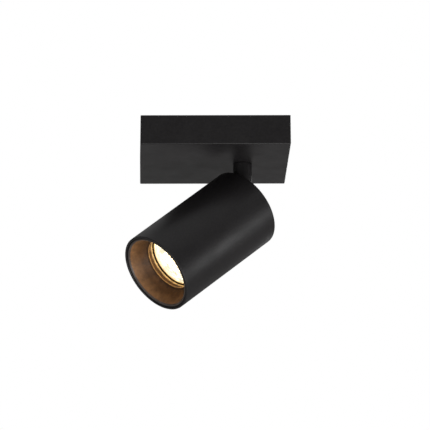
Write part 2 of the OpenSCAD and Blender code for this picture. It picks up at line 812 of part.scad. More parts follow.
module lamp_housing() {
    seat_r = lens_flange_d / 2 + seat_gap;
    bore_r = lens_d / 2;
    color("#e8e6e1") at_mouth() rotate_extrude() polygon([
        [seat_r, housing_front], [lamp_d / 2, housing_front], [lamp_d / 2, skirt_end],
        [neck_d / 2, housing_end], [neck_d / 2 - housing_wall, housing_end], [bore_r, skirt_end],
        [bore_r, lens_seat], [seat_r, lens_seat]]);
}

module lamp_bezel() {
    in = lens_d / 2 + seat_gap;
    out = lamp_d / 2;
    back = lamp_inset + bezel_l;
    color("#8f877c") at_mouth() rotate_extrude() polygon([
        [in, lamp_inset + edge_break], [in + edge_break, lamp_inset], [out - edge_break, lamp_inset],
        [out, lamp_inset + edge_break], [out, back], [in, back]]);
}

module lamp_lens() {
    front = lamp_inset + lens_sink;
    color("#fff1d6") at_mouth() rotate_extrude() polygon([
        [0, front], [lens_d / 2, front], [lens_d / 2, lens_back], [lens_flange_d / 2, lens_back],
        [lens_flange_d / 2, lens_back + lens_flange_t], [0, lens_back + lens_flange_t]]);
}

// Radius of the housing's inside at a place on its cone
function housing_inner_r(at) = lens_d / 2
    - (lens_d / 2 - neck_d / 2 + housing_wall) * (at - skirt_end) / (housing_end - skirt_end);

module lamp_led_board() {
    r = housing_inner_r(skirt_end + board_t) - seat_gap;
    color("#e9ece8") at_mouth() translate([0, 0, skirt_end]) cylinder(h = board_t, r = r);
}

module lamp_leds() {
    color("#f2d36b") at_mouth() translate([0, 0, skirt_end - led_h]) {
        cylinder(h = led_h, d = led_d);
        for (i = [0 : led_count - 1]) rotate([0, 0, 360 * i / led_count]) translate([led_ring_r, 0, 0])
            cylinder(h = led_h, d = led_d);
    }
}

module lamp_driver_board() {
    front = skirt_end + board_t + driver_gap;
    back = base_front - spigot_l;
    color("#3d7a4a") at_mouth() translate([-driver_w / 2, -driver_t / 2, front])
        cube([driver_w, driver_t, back - front]);
}

module lamp_base() {
    spigot_r = neck_d / 2 - housing_wall - seat_gap;
    color("#efece4") at_mouth() rotate_extrude() polygon([
        [0, base_front - spigot_l], [spigot_r, base_front - spigot_l], [spigot_r, base_front],
        [neck_d / 2, base_front], [neck_d / 2, pin_root - base_taper_l],
        [neck_d / 2 - base_taper, pin_root], [0, pin_root]]);
}

module lamp_pins() {
    color("#b9babc") at_mouth() for (side = [-1, 1]) translate([side * pin_spacing / 2, 0, pin_root]) {
        cylinder(h = pin_l, d = pin_neck_d);
        translate([0, 0, pin_l - pin_head_l]) cylinder(h = pin_head_l, d = pin_head_d);
    }
}

canopy_cover();
mounting_plate();
cover_grub_screws();
terminal_block();
terminal_inserts();
terminal_screws();
terminal_fixing_screw();
earth_stud();
earth_tags();
earth_washer();
earth_nut();
swivel_stop_post();
live_lead();
neutral_lead();
earth_leads();
stem_tube();
stem_nipple();
nylon_washer();
disc_spring();
stop_washer();
stem_nut();
stem_knuckle();
stem_leads();
head_tube();
rear_cap();
pivot_screws();
friction_washers();
lampholder();
lampholder_contacts();
lampholder_screws();
head_earth_tag();
head_leads();
baffle();
baffle_o_ring();
lamp_housing();
lamp_bezel();
lamp_lens();
lamp_led_board();
lamp_leds();
lamp_driver_board();
lamp_base();
lamp_pins();
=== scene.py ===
"""Surface mounted ceiling spotlight: its visible pieces, finishes, studio and camera.

Lengths are in metres. The ceiling is the plane z = 0, and the spotlight hangs below it. The pieces
of the head are modelled in the head's own frame, with the mouth at the origin and z towards the
rear, and are then turned into place.
"""

import json
import math

import bpy
from mathutils import Matrix, Vector

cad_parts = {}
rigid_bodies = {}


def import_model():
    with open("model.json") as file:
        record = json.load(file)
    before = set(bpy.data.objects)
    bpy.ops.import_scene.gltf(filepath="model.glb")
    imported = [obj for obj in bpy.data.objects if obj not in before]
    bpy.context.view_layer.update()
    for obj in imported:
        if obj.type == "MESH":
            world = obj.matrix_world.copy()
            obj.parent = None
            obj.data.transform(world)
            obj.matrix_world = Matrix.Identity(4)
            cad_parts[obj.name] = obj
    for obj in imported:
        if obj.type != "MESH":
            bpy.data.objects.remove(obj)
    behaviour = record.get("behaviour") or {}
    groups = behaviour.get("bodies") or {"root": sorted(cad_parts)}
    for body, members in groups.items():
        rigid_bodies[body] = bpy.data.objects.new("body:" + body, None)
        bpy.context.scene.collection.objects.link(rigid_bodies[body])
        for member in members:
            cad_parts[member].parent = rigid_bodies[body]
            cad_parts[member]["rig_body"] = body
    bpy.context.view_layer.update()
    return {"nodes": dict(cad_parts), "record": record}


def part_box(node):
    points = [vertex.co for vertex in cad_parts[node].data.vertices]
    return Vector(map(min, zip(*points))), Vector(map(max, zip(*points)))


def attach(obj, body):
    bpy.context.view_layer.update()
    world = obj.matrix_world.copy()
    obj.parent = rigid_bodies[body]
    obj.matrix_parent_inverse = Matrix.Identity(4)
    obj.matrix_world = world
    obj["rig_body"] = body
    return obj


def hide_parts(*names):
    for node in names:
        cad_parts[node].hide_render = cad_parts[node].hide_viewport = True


bl_info = {
    "name": "Ceiling Spotlight",
    "version": (1, 0, 0),
    "blender": (4, 5, 0),
    "location": "View3D > Sidebar > Spotlight",
    "description": "Models a surface mounted ceiling spotlight, its finishes and a studio round it",
    "category": "Add Mesh",
}

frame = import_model()

MM = 0.001
UM = MM / 1000
# Points closer than this are one point
MERGE = UM
# A point this close to a plane lies in it
NEAR = MM / 10
# Sides of the turned pieces: the stem, the lamp's rim and lens, and the head with its baffle
STEM_SIDES = 96
LAMP_SIDES = 128
HEAD_SIDES = 160
# Where most of a noise texture's values lie
SPREAD = {"From Min": 0.3, "From Max": 0.7}
# The colour inputs of a Mix node, which share their names with its other inputs
MIX_A, MIX_B = 6, 7

CANOPY_LOW, CANOPY_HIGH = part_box("canopy_cover")
PLATE_LOW, PLATE_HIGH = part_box("mounting_plate")
STEM_LOW, STEM_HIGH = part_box("stem_tube")


def length(name, description, default_mm):
    """A size property, given in millimetres and kept in metres."""
    return bpy.props.FloatProperty(name=name, description=description, default=default_mm * MM,
                                   min=0.0, precision=5, unit="LENGTH")


def turn(name, description, degrees):
    """An angle property, given in degrees and kept in radians."""
    return bpy.props.FloatProperty(name=name, description=description,
                                   default=math.radians(degrees), subtype="ANGLE")


def colour(name, description, hex_value):
    """A colour property, kept as its sRGB hex value."""
    return bpy.props.StringProperty(name=name, description=description, default=hex_value)


class SpotlightCanopySizes(bpy.types.PropertyGroup):
    """Sizes of the canopy and its mounting plate"""
    wall: length("Cover sheet", "Sheet thickness of the canopy cover", 1.2)
    edge: length("Cover edge", "Outer radius of the cover's edges", 0.75)
    stem_hole: length("Stem hole", "Diameter of the hole for the nipple", 10.1)
    grub_hole: length("Grub hole", "Diameter of each grub screw's hole in the cover", 4.4)
    grub_drop: length("Grub drop", "Drop of the grub screws below the ceiling", 10.0)
    plate_sheet: length("Plate sheet", "Thickness of the mounting plate", 1.5)
    bend: length("Bend radius", "Outer radius of the plate's bends", 1.4)
    tab: length("Tab width", "Width of each end tab", 20.0)
    tap_hole: length("Tapped hole", "Diameter of the tapped hole in each tab", 4.1)
    cable_hole: length("Cable hole", "Diameter of the hole for the supply cable", 16.0)
    screw_spacing: length("Screw spacing", "Distance between the two ceiling screws", 60.0)
    slot_width: length("Slot width", "Width of each ceiling screw slot", 4.5)
    slot_length: length("Slot length", "Length of each ceiling screw slot", 12.0)
    fixing_hole: length("Fixing hole", "Diameter of the terminal block's screw hole", 3.1)


class SpotlightStemSizes(bpy.types.PropertyGroup):
    """Sizes of the stem"""
    reach: length("Stem place", "Distance of the stem from the canopy's centre", 19.2)
    bore: length("Stem bore", "Bore of the stem tube", 10.1)
    edge: length("Stem edge", "Broken edge at the tube's ends", 0.35)


class SpotlightHeadSizes(bpy.types.PropertyGroup):
    """Sizes and aim of the head"""
    pan: turn("Pan", "Direction of the head, from the right towards the back", 211.3)
    tilt: turn("Tilt", "Tilt of the head away from straight down", 52.4)
    pivot_drop: length("Pivot drop", "Drop of the tilt pin below the ceiling", 51.5)
    reach: length("Reach", "Distance from the tilt pin to the mouth", 87.7)
    length: length("Length", "Length of the head tube", 88.7)
    diameter: length("Diameter", "Outer diameter of the head tube", 55.7)
    wall: length("Wall", "Wall of the head tube", 1.5)
    lip: length("Lip", "Radius of the tube's rounded lips", 0.45)


class SpotlightOpticSizes(bpy.types.PropertyGroup):
    """Sizes of the baffle and the lamp's front"""
    inset: length("Baffle inset", "Distance from the mouth to the baffle", 1.0)
    rim_radius: length("Rim radius", "Radius of the baffle's rim", 26.25)
    rim: length("Rim length", "Length of the baffle's rim", 6.0)
    mouth_radius: length("Cone radius", "Radius of the cone at its front", 24.7)
    throat_radius: length("Throat radius", "Radius of the throat", 19.6)
    throat_front: length("Throat front", "Distance from the mouth to the throat", 13.4)
    throat_rear: length("Throat rear", "Distance from the mouth to the baffle's end", 18.1)
    sheet: length("Baffle sheet", "Wall of the baffle", 1.1)
    bead: length("Bead", "Width of the bead at each end of the throat", 0.9)
    lip_end: length("Lip end", "Distance from the mouth to the inner end of the baffle's lip", 1.1)
    lip_rise: length("Lip rise", "Height of the rolled lip above the baffle's rim", 0.5)
    bead_rise: length("Bead rise", "Height of the bead at the throat's front", 1.1)
    groove: length("Groove", "Distance from the mouth to the ring's groove", 3.6)
    groove_width: length("Groove width", "Width of the ring's groove", 1.7)
    groove_depth: length("Groove depth", "Depth of the ring's groove", 1.1)
    lamp_front: length("Lamp front", "Distance from the mouth to the lamp", 18.7)
    lamp_radius: length("Lamp radius", "Radius of the lamp", 25.0)
    rim_rear: length("Lamp rim rear", "Distance from the mouth to the rear of the lamp's rim", 20.9)
    lens_front: length("Lens front", "Distance from the mouth to the lens", 19.0)
    lens_step: length("Lens step", "Distance from the mouth to the lens's flange", 21.0)
    lens_rear: length("Lens rear", "Distance from the mouth to the lens's back", 22.0)
    lens_radius: length("Lens radius", "Radius of the lens", 19.8)
    flange_radius: length("Flange radius", "Radius of the lens's flange", 21.3)
    lens_hot_radius: length("Lens glare", "Radius of the glaring middle of the lens", 17.6)
    glare_aside: length("Glare aside", "Distance of the brightest glare from the centre", 5.0)
    lens_edge: length("Lens face", "Radius of the lit face inside the lens's dark border", 19.0)


class SpotlightColours(bpy.types.PropertyGroup):
    """Main colours, as sRGB hex values"""
    coat: colour("Powder coat", "Colour of the black powder coat", "#171516")
    coat_fleck: colour("Coat fleck", "Lighter fleck in the powder coat", "#201e1f")
    # Painted light: a brown that stands in for the lamp's warm glow on the black lacquer
    baffle: colour("Baffle", "Colour of the baffle's lacquer at its front", "#7a5839")
    # Painted shade: the lacquer darker deeper in the cone
    baffle_deep_painted_shade: colour("Baffle, deep", "Colour of the lacquer deeper in the cone", "#4f351d")
    # Painted shade in the corner before the throat
    baffle_corner_painted_shade: colour("Baffle corner", "Colour of the lacquer before the throat", "#4a3320")
    # Painted light: the throat's brown for the lamp's glow, held darker as painted shade
    baffle_throat_painted_light: colour("Baffle throat", "Colour of the lacquer in the throat", "#5c3f1f")
    baffle_outside: colour("Baffle, outside", "Colour of the lacquer outside", "#2d2a28")
    # Painted sheen: the lip grey, for its reflection
    baffle_lip_painted_sheen: colour("Baffle lip", "Colour of the lacquer on the baffle's lip", "#4d4642")
    # Painted highlight: the front bead lighter, as if lit by the lamp
    baffle_bead_painted_highlight: colour("Front bead", "Colour of the thin lacquer on the front bead", "#9a7546")
    # Painted highlight: the rear bead golden, for the lamp's warm reflection
    baffle_rear_bead_painted_highlight: colour("Rear bead", "Colour of the worn lacquer on the rear bead", "#f3d294")
    lens_frost: colour("Lens frost", "Colour of the lens between the ripples", "#f9edcd")
    lens_rim: colour("Lens rim", "Colour of the lens at the edge of its lit face", "#f4c878")
    # Painted shadow: the lens's dark border, where the baffle's end shades it
    lens_border_painted_shadow: colour("Lens border", "Colour of the lens's unlit border", "#3a2716")
    light: colour("Lamp light", "Colour of the lamp's light", "#ffd799")
    floor: colour("Floor", "Colour of the studio floor", "#d2d1d0")


SIZE_GROUPS = {
    "spot_canopy": SpotlightCanopySizes,
    "spot_stem": SpotlightStemSizes,
    "spot_head": SpotlightHeadSizes,
    "spot_optic": SpotlightOpticSizes,
    "spot_colours": SpotlightColours,
}


# ---------------------------------------------------------------- modelling helpers

def start_fresh():
    """Leaves edit mode and deselects everything."""
    if bpy.context.object and bpy.context.object.mode != "OBJECT":
        bpy.ops.object.mode_set(mode="OBJECT")
    bpy.ops.object.select_all(action="DESELECT")


def hold(piece):
    """Makes a piece the active object, and the only one that is selected."""
    start_fresh()
    piece.select_set(True)
    bpy.context.view_layer.objects.active = piece


def named(name):
    """Names the new active object and its mesh."""
    piece = bpy.context.object
    piece.name = name
    piece.data.name = name
    return piece


def settle():
    """Applies the selected piece's place, turn and size to its mesh."""
    bpy.ops.object.transform_apply(location=True, rotation=True, scale=True)


def edit_all():
    """Enters edit mode with the whole mesh selected."""
    bpy.ops.object.mode_set(mode="EDIT")
    bpy.ops.mesh.select_all(action="SELECT")


def pick(piece, kind, test):
    """In edit mode, selects the vertices, edges or faces whose parts all pass the test."""
    bpy.ops.mesh.select_mode(type=kind)
    bpy.ops.mesh.select_all(action="DESELECT")
    bpy.ops.object.mode_set(mode="OBJECT")
    mesh = piece.data
    items = {"VERT": mesh.vertices, "EDGE": mesh.edges, "FACE": mesh.polygons}[kind]
    for item in items:
        item.select = bool(test(item, mesh))
    bpy.ops.object.mode_set(mode="EDIT")


def ends(edge, mesh):
    """The places of an edge's two ends."""
    return [mesh.vertices[v].co for v in edge.vertices]


def apply_modifier(piece, kind, **settings):
    """Adds a modifier with its settings and applies it."""
    hold(piece)
    modifier = piece.modifiers.new(kind, kind)
    for key, value in settings.items():
        setattr(modifier, key, value)
    bpy.ops.object.modifier_apply(modifier=modifier.name)


def cut(piece, cutter):
    """Cuts the cutter out of the piece, and deletes the cutter."""
    apply_modifier(piece, "BOOLEAN", operation="DIFFERENCE", object=cutter, solver="EXACT")
    bpy.data.objects.remove(cutter)


def round_edges(piece, width, segments=3, angle=35):
    """Rounds the edges, and clears the slivers where two roundings meet."""
    apply_modifier(piece, "BEVEL", width=width, segments=segments, limit_method="ANGLE",
                   angle_limit=math.radians(angle), harden_normals=False, use_clamp_overlap=True)
    edit_all()
    bpy.ops.mesh.remove_doubles(threshold=MERGE)
    bpy.ops.mesh.dissolve_degenerate(threshold=MERGE)
    bpy.ops.object.mode_set(mode="OBJECT")


def shade(piece, angle=32):
    """Smooths the shading across edges of less than the angle, in degrees."""
    hold(piece)
    bpy.ops.object.shade_smooth_by_angle(angle=math.radians(angle))


def put(piece, place):
    """Puts a piece in its place by a matrix, which then goes into its mesh."""
    hold(piece)
    piece.matrix_world = place
    settle()


def drill(radius, depth, middle, along="Z", sides=64):
    """A round cutter along one axis."""
    start_fresh()
    turns = {"X": (0, math.pi / 2, 0), "Y": (math.pi / 2, 0, 0), "Z": (0, 0, 0)}
    bpy.ops.mesh.primitive_cylinder_add(vertices=sides, radius=radius, depth=depth,
                                        location=middle, rotation=turns[along])
    return bpy.context.object


def slot_cutter(width, long, depth, middle):
    """A cutter with round ends: a cylinder whose two halves are pulled apart along x."""
    cutter = drill(width / 2, depth, middle)
    settle()
    bpy.ops.object.mode_set(mode="EDIT")
    bpy.ops.mesh.bisect(plane_co=middle, plane_no=(1, 0, 0))
    for side in (-1, 1):
        pick(cutter, "VERT", lambda v, mesh: side * (v.co.x - middle[0]) > width / 100)
        bpy.ops.transform.translate(value=(side * (long - width) / 2, 0, 0))
    bpy.ops.object.mode_set(mode="OBJECT")
    return cutter


def turned(name, outline, sides):
    """A turned piece: one vertex drawn round the outline of (radius, z), then spun about z."""
    start_fresh()
    bpy.ops.mesh.primitive_plane_add(size=MM)
    piece = named(name)
    edit_all()
    bpy.ops.mesh.merge(type="CENTER")
    first = outline[0]
    bpy.ops.transform.translate(value=(first[0], 0, first[1]))
    for before, after in zip(outline, outline[1:] + [first]):
        if before == after or (before[0] == 0 and after[0] == 0):
            continue
        bpy.ops.mesh.extrude_region_move(TRANSFORM_OT_translate={
            "value": (after[0] - before[0], 0, after[1] - before[1])})
    bpy.ops.mesh.select_all(action="SELECT")
    bpy.ops.mesh.remove_doubles(threshold=MERGE)
    bpy.ops.mesh.spin(steps=sides, angle=2 * math.pi, center=(0, 0, 0), axis=(0, 0, 1))
    bpy.ops.mesh.select_all(action="SELECT")
    bpy.ops.mesh.remove_doubles(threshold=MERGE)
    bpy.ops.mesh.normals_make_consistent(inside=False)
    bpy.ops.object.mode_set(mode="OBJECT")
    return piece


def copied(node, name):
    """A merged copy of a CAD node, with its flat faces whole again."""
    start_fresh()
    source = frame["nodes"][node]
    piece = source.copy()
    piece.data = source.data.copy()
    for key in list(piece.keys()):
        del piece[key]
    bpy.context.scene.collection.objects.link(piece)
    piece.parent = None
    piece.name = name
    piece.data.name = name
    hold(piece)
    edit_all()
    bpy.ops.mesh.customdata_custom_splitnormals_clear()
    bpy.ops.mesh.remove_doubles(threshold=MERGE)
    bpy.ops.mesh.dissolve_limited(angle_limit=math.radians(1))
    bpy.ops.object.mode_set(mode="OBJECT")
    return piece


def finish_piece(piece, body, slot, *nodes):
    """Gives a piece its body and its slot with the finish, and hides the CAD nodes that it stands
    for.
    """
    piece.data.materials.clear()
    piece.data.materials.append(FINISHES[slot])
    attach(piece, body)
    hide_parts(*nodes)


def pivot_frame():
    """The head's frame at its tilt pin: z runs towards the rear and y along the pin."""
    head = bpy.context.scene.spot_head
    stem = bpy.context.scene.spot_stem
    return (Matrix.Translation((stem.reach, 0, -head.pivot_drop))
            @ Matrix.Rotation(head.pan, 4, "Z") @ Matrix.Rotation(-head.tilt, 4, "Y"))


def mouth_frame():
    """The head's frame at its mouth."""
    return pivot_frame() @ Matrix.Translation((0, 0, -bpy.context.scene.spot_head.reach))


# ---------------------------------------------------------------- finishes

def linear(hex_value):
    """An sRGB hex value as a linear colour."""
    parts = [int(hex_value[i:i + 2], 16) / 255 for i in (1, 3, 5)]
    return tuple(p / 12.92 if p <= 0.04045 else ((p + 0.055) / 1.055) ** 2.4
                 for p in parts) + (1.0,)


def fill(tree, node, inputs):
    """Sets or links a node's inputs."""
    for key, value in inputs.items():
        if isinstance(value, bpy.types.NodeSocket):
            tree.links.new(value, node.inputs[key])
        else:
            node.inputs[key].default_value = value


def add(tree, kind, inputs=None, **settings):
    """Adds a node, makes its settings, and sets or links its inputs."""
    node = tree.nodes.new(kind)
    for key, value in settings.items():
        setattr(node, key, value)
    fill(tree, node, inputs or {})
    return node


def set_stops(elements, whole, stops):
    """Sets a gradient's stops: each a distance, as a share of the whole, and an sRGB hex value."""
    while len(elements) < len(stops):
        elements.new(1.0)
    for element, (distance, hex_value) in zip(elements, stops):
        element.position = distance / whole
        element.color = linear(hex_value)


def new_material(name):
    """An empty material with a Principled shader, and its tree."""
    material = bpy.data.materials.new(name)
    material.use_nodes = True
    tree = material.node_tree
    tree.nodes.clear()
    shader = add(tree, "ShaderNodeBsdfPrincipled")
    add(tree, "ShaderNodeOutputMaterial", {"Surface": shader.outputs["BSDF"]})
    return material, tree, shader


def head_place(tree):
    """Places in the head's own frame, the same without z, and their distance from the axis."""
    place = add(tree, "ShaderNodeTexCoord").outputs["Object"]
    mouth = mouth_frame()
    local = add(tree, "ShaderNodeMapping", {"Vector": place, "Location": mouth.translation,
                                            "Rotation": mouth.to_euler()}, vector_type="TEXTURE")
    flat = add(tree, "ShaderNodeVectorMath", {0: local.outputs[0], 1: (1, 1, 0)},
               operation="MULTIPLY")
    far = add(tree, "ShaderNodeVectorMath", {0: flat.outputs[0]}, operation="LENGTH")
    return local.outputs[0], flat.outputs[0], far.outputs["Value"]


def tool_marks(tree, depth, pitch):
    """A wave along the depth, for the rings that a tool leaves, one pitch apart."""
    turns = add(tree, "ShaderNodeMath", {0: depth, 1: 2 * math.pi / pitch}, operation="MULTIPLY")
    return add(tree, "ShaderNodeMath", {0: turns.outputs[0]}, operation="SINE").outputs[0]


def grain(name, dark, light, size_mm, rough, bump_um, metallic=0.0, detail=3.0, cloud_mm=9.0,
          ior=1.5, kind="noise", **sockets):
    """A finish with a fine grain of one real size over slow, cloudy changes in its gloss.

    dark and light are the colours in the grain, rough the range of the roughness, and bump_um the
    depth of the grain in micrometres.
    """
    material, tree, shader = new_material(name)
    place = add(tree, "ShaderNodeTexCoord").outputs["Object"]
    if kind == "cells":
        cells = add(tree, "ShaderNodeTexVoronoi", {"Vector": place, "Scale": 1 / (size_mm * MM)})
        fine = add(tree, "ShaderNodeSeparateColor", {"Color": cells.outputs["Color"]})
    else:
        fine = add(tree, "ShaderNodeTexNoise", {"Vector": place, "Scale": 1 / (size_mm * MM),
                                                "Detail": detail})
    cloud = add(tree, "ShaderNodeTexNoise", {"Vector": place, "Scale": 1 / (cloud_mm * MM),
                                             "Detail": 4.0})
    blend = add(tree, "ShaderNodeMapRange", {"Value": fine.outputs[0], **SPREAD})
    tint = add(tree, "ShaderNodeMix", {"Factor": blend.outputs[0], MIX_A: linear(dark),
                                       MIX_B: linear(light)}, data_type="RGBA")
    gloss = add(tree, "ShaderNodeMapRange", {"Value": cloud.outputs[0], **SPREAD,
                                             "To Min": rough[0], "To Max": rough[1]})
    height = add(tree, "ShaderNodeBump", {"Height": fine.outputs[0], "Strength": 1.0,
                                          "Distance": bump_um * UM})
    fill(tree, shader, {"Base Color": tint.outputs[2], "Roughness": gloss.outputs[0],
                        "Normal": height.outputs[0], "Metallic": metallic})
    # A metal keeps the default IOR
    if metallic < 0.5:
        fill(tree, shader, {"IOR": ior})
    fill(tree, shader, {key.replace("_", " "): value for key, value in sockets.items()})
    return material


def coat_finish():
    """Satin black polyester powder coat on sheet steel and aluminium.

    Sprayed and baked: the eye sees a soft sheen over a shallow orange peel of about 1.2 mm.
    """
    colours = bpy.context.scene.spot_colours
    return grain("satin_black_powder_coat", colours.coat, colours.coat_fleck, 1.2, (0.38, 0.46),
                 2.5, detail=2.0, cloud_mm=14.0, ior=1.45)


def baffle_finish():
    """Thin black lacquer on spun aluminium.

    The spinning tool leaves fine rings round the axis, 0.5 mm apart. The lacquer is black outside.
    Inside, the colours carry painted light: a painted grey sheen on the lip, and a brown in the
    cone that stands in for the lamp's warm glow, with painted cloudy patches of light and shade.
    Painted shade darkens it towards the throat, in the corner before it and in the throat, and
    painted golden highlights lie on the throat's beads.
    """
    colours = bpy.context.scene.spot_colours
    optic = bpy.context.scene.spot_optic
    ring_pitch, cloud_size, half = 0.5 * MM, 4 * MM, optic.bead / 2
    material, tree, shader = new_material("lacquered_spun_aluminium")
    local, _, far = head_place(tree)
    depth = add(tree, "ShaderNodeSeparateXYZ", {"Vector": local}).outputs["Z"]
    rings = tool_marks(tree, depth, ring_pitch)
    cloud = add(tree, "ShaderNodeTexNoise", {"Vector": local, "Scale": 1 / cloud_size,
                                             "Detail": 6.0, "Roughness": 0.65})
    # (distance from the mouth, colour) inside, all carrying painted light: the lip (painted sheen),
    # the cone (brown lamp glow, then painted shade deeper and in the corner), the front bead
    # (painted highlight), the throat (painted shade) and the rear bead (painted highlight)
    stops = ((optic.lip_end, colours.baffle_lip_painted_sheen), (optic.lip_end + 0.6 * MM, colours.baffle),
             (optic.throat_front - 5 * MM, colours.baffle_deep_painted_shade),
             (optic.throat_front - 0.9 * half, colours.baffle_corner_painted_shade),
             (optic.throat_front - 0.7 * half, colours.baffle_bead_painted_highlight),
             (optic.throat_front + half, colours.baffle_bead_painted_highlight),
             (optic.throat_front + 1.3 * half, colours.baffle_throat_painted_light),
             (optic.throat_rear - 2.6 * half, colours.baffle_throat_painted_light),
             (optic.throat_rear - 2 * half, colours.baffle_rear_bead_painted_highlight))
    share = add(tree, "ShaderNodeMath", {0: depth, 1: 1 / optic.throat_rear}, operation="MULTIPLY")
    lacquer = add(tree, "ShaderNodeValToRGB", {"Fac": share.outputs[0]})
    set_stops(lacquer.color_ramp.elements, optic.throat_rear, stops)
    # Painted light and shade: cloudy patches, lighter and darker, for the lamp's uneven light on
    # the cone
    shadow = add(tree, "ShaderNodeMapRange", {"Value": cloud.outputs[0], **SPREAD,
                                              "To Min": 0.58, "To Max": 1.32})
    tint = add(tree, "ShaderNodeVectorMath", {0: lacquer.outputs["Color"], 1: shadow.outputs[0]},
               operation="MULTIPLY")
    # The outside begins halfway through the sheet, counted from the cone's inner face
    inner = add(tree, "ShaderNodeMapRange", {"Value": depth,
                                             "From Min": optic.inset - optic.lip_rise,
                                             "From Max": optic.throat_front,
                                             "To Min": optic.mouth_radius,
                                             "To Max": optic.throat_radius})
    beyond = add(tree, "ShaderNodeMath", {0: far, 1: inner.outputs[0]}, operation="SUBTRACT")
    outside = add(tree, "ShaderNodeMapRange", {"Value": beyond.outputs[0],
                                               "From Min": 0.5 * optic.sheet,
                                               "From Max": 0.6 * optic.sheet})
    coat = add(tree, "ShaderNodeMix", {"Factor": outside.outputs[0], MIX_A: tint.outputs[0],
                                       MIX_B: linear(colours.baffle_outside)}, data_type="RGBA")
    dull = add(tree, "ShaderNodeMapRange", {"Value": cloud.outputs[0],
                                            "To Min": 0.5, "To Max": 0.62})
    lip = add(tree, "ShaderNodeMapRange", {"Value": depth, "From Min": optic.lip_end,
                                           "From Max": optic.lip_end + MM,
                                           "To Min": 0.65, "To Max": 1.0})
    gloss = add(tree, "ShaderNodeMath", {0: dull.outputs[0], 1: lip.outputs[0]},
                operation="MULTIPLY")
    bump = add(tree, "ShaderNodeBump", {"Height": rings, "Strength": 0.5, "Distance": 2 * UM})
    fill(tree, shader, {"Base Color": coat.outputs[2], "Roughness": gloss.outputs[0],
                        "Normal": bump.outputs[0], "IOR": 1.33})
    return material


def lens_finish():
    """Frosted polycarbonate lens, lit from behind by warm white LEDs.

    The frost lies in broken ripples round the middle, about 1 mm apart. They glare in the middle.
    Between them and towards the edge the lens is creamy and no brighter than paper. Its border is
    painted shadow: a dark ring where the baffle's end shades it.
    """
    colours = bpy.context.scene.spot_colours
    optic = bpy.context.scene.spot_optic
    ripple_size, ripple_length, soft = 1.1 * MM, 4 * MM, 0.08 * MM
    material, tree, shader = new_material("frosted_lit_polycarbonate")
    _, flat, far = head_place(tree)
    out = add(tree, "ShaderNodeMapRange", {"Value": far, "From Max": optic.lens_radius})
    zones = add(tree, "ShaderNodeValToRGB", {"Fac": out.outputs[0]})
    # The last stop is painted shadow: the lens's border, dark where the baffle's end shades it
    set_stops(zones.color_ramp.elements, optic.lens_radius,
              ((optic.lens_hot_radius, colours.lens_frost),
               (optic.lens_edge - soft, colours.lens_rim),
               (optic.lens_edge + soft, colours.lens_border_painted_shadow)))
    glare = add(tree, "ShaderNodeVectorMath", {0: flat, 1: (0, optic.glare_aside, 0)},
                operation="DISTANCE")
    inside = add(tree, "ShaderNodeMapRange", {"Value": glare.outputs["Value"],
                                              "From Min": 0.5 * optic.lens_hot_radius,
                                              "From Max": 1.4 * optic.lens_hot_radius,
                                              "To Min": 1.0, "To Max": 0.0})
    around = add(tree, "ShaderNodeVectorMath", {0: flat}, operation="NORMALIZE")
    outward = add(tree, "ShaderNodeCombineXYZ", {"Z": far})
    ripple = add(tree, "ShaderNodeVectorMath", {0: around.outputs[0],
                                                1: (ripple_length, ripple_length, 0),
                                                2: outward.outputs[0]}, operation="MULTIPLY_ADD")
    frost = add(tree, "ShaderNodeTexNoise", {"Vector": ripple.outputs[0],
                                             "Scale": 1 / ripple_size, "Detail": 2.0})
    patch = add(tree, "ShaderNodeMapRange", {"Value": frost.outputs[0],
                                             "From Min": 0.44, "From Max": 0.62})
    both = add(tree, "ShaderNodeMath", {0: inside.outputs[0], 1: patch.outputs[0]},
               operation="MULTIPLY")
    hot = add(tree, "ShaderNodeMath", {0: both.outputs[0], 1: 1.5}, operation="POWER")
    power = add(tree, "ShaderNodeMapRange", {"Value": hot.outputs[0],
                                             "To Min": 0.6, "To Max": 9.5})
    tone = add(tree, "ShaderNodeMix", {"Factor": hot.outputs[0], MIX_A: zones.outputs["Color"],
                                       MIX_B: linear(colours.light)}, data_type="RGBA")
    bump = add(tree, "ShaderNodeBump", {"Height": frost.outputs[0], "Strength": 0.6,
                                        "Distance": 20 * UM})
    fill(tree, shader, {"Base Color": zones.outputs["Color"], "Roughness": 0.45, "IOR": 1.585,
                        "Emission Color": tone.outputs[2], "Emission Strength": power.outputs[0],
                        "Normal": bump.outputs[0]})
    return material


def turned_metal(name, dark, light, rough, pitch_mm):
    """Bright turned metal, whose tool marks run round the stem's axis and so repeat along z."""
    material, tree, shader = new_material(name)
    place = add(tree, "ShaderNodeTexCoord").outputs["Object"]
    apart = add(tree, "ShaderNodeSeparateXYZ", {"Vector": place})
    marks = tool_marks(tree, apart.outputs["Z"], pitch_mm * MM)
    cloud = add(tree, "ShaderNodeTexNoise", {"Vector": place, "Scale": 1 / (1.5 * MM),
                                             "Detail": 4.0})
    tint = add(tree, "ShaderNodeMix", {"Factor": cloud.outputs[0], MIX_A: linear(dark),
                                       MIX_B: linear(light)}, data_type="RGBA")
    gloss = add(tree, "ShaderNodeMapRange", {"Value": cloud.outputs[0],
                                             "To Min": rough[0], "To Max": rough[1]})
    bump = add(tree, "ShaderNodeBump", {"Height": marks, "Strength": 0.6, "Distance": 12 * UM})
    fill(tree, shader, {"Base Color": tint.outputs[2], "Roughness": gloss.outputs[0],
                        "Normal": bump.outputs[0], "Metallic": 1.0})
    return material


